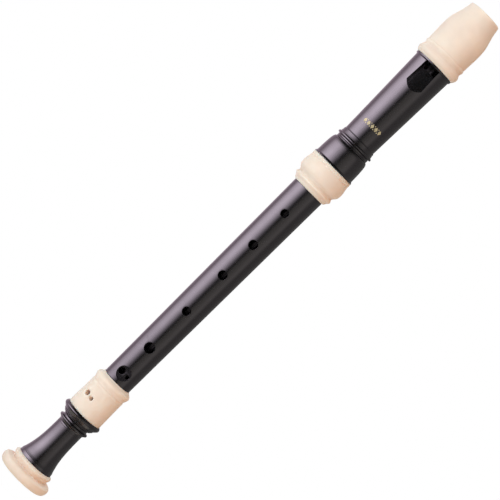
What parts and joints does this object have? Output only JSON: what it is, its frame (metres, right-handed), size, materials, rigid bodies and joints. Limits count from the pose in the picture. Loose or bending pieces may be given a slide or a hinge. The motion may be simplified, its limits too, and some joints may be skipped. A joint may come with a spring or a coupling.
{
  "type": "soprano recorder",
  "caption": "Plastic soprano recorder in head, middle and foot joints: dark turned tubes with pale rings, a windway mouthpiece, window and finger holes. The joints slide and turn on tenons.",
  "frame": {"origin": "centre of the bell's flat foot, on which the recorder stands", "axes": "+Z along the bore from the bell to the beak, -Y the side of the finger holes and the window, +X to the right seen from that side"},
  "size_m": [0.03, 0.03, 0.3273],
  "materials": {
    "cream_plastic": "satin moulded plastic, cream",
    "dark_plastic": "satin moulded plastic, dark brown"
  },
  "bodies": {
    "middle_joint": {"middle_body": "dark_plastic"},
    "head_carrier": {"head_ring": "cream_plastic"},
    "head_joint": {"head_body": "dark_plastic", "beak": "cream_plastic", "block": "cream_plastic"},
    "foot_carrier": {"bell_ring": "cream_plastic"},
    "foot_joint": {"foot_body": "dark_plastic", "foot_socket": "cream_plastic"}
  },
  "joints": [
    {"name": "head_slide", "type": "slide", "parent": "middle_joint", "child": "head_carrier", "axis": [0, 0, 1], "range_m": [0, 0.03]},
    {"name": "head_turn", "type": "hinge", "parent": "head_carrier", "child": "head_joint", "pos_m": [0, 0, 0.2114], "axis": [0, 0, 1], "continuous": true},
    {"name": "foot_slide", "type": "slide", "parent": "middle_joint", "child": "foot_carrier", "axis": [0, 0, -1], "range_m": [0, 0.02]},
    {"name": "foot_turn", "type": "hinge", "parent": "foot_carrier", "child": "foot_joint", "pos_m": [0, 0, 0.0282], "axis": [0, 0, 1], "continuous": true}
  ]
}
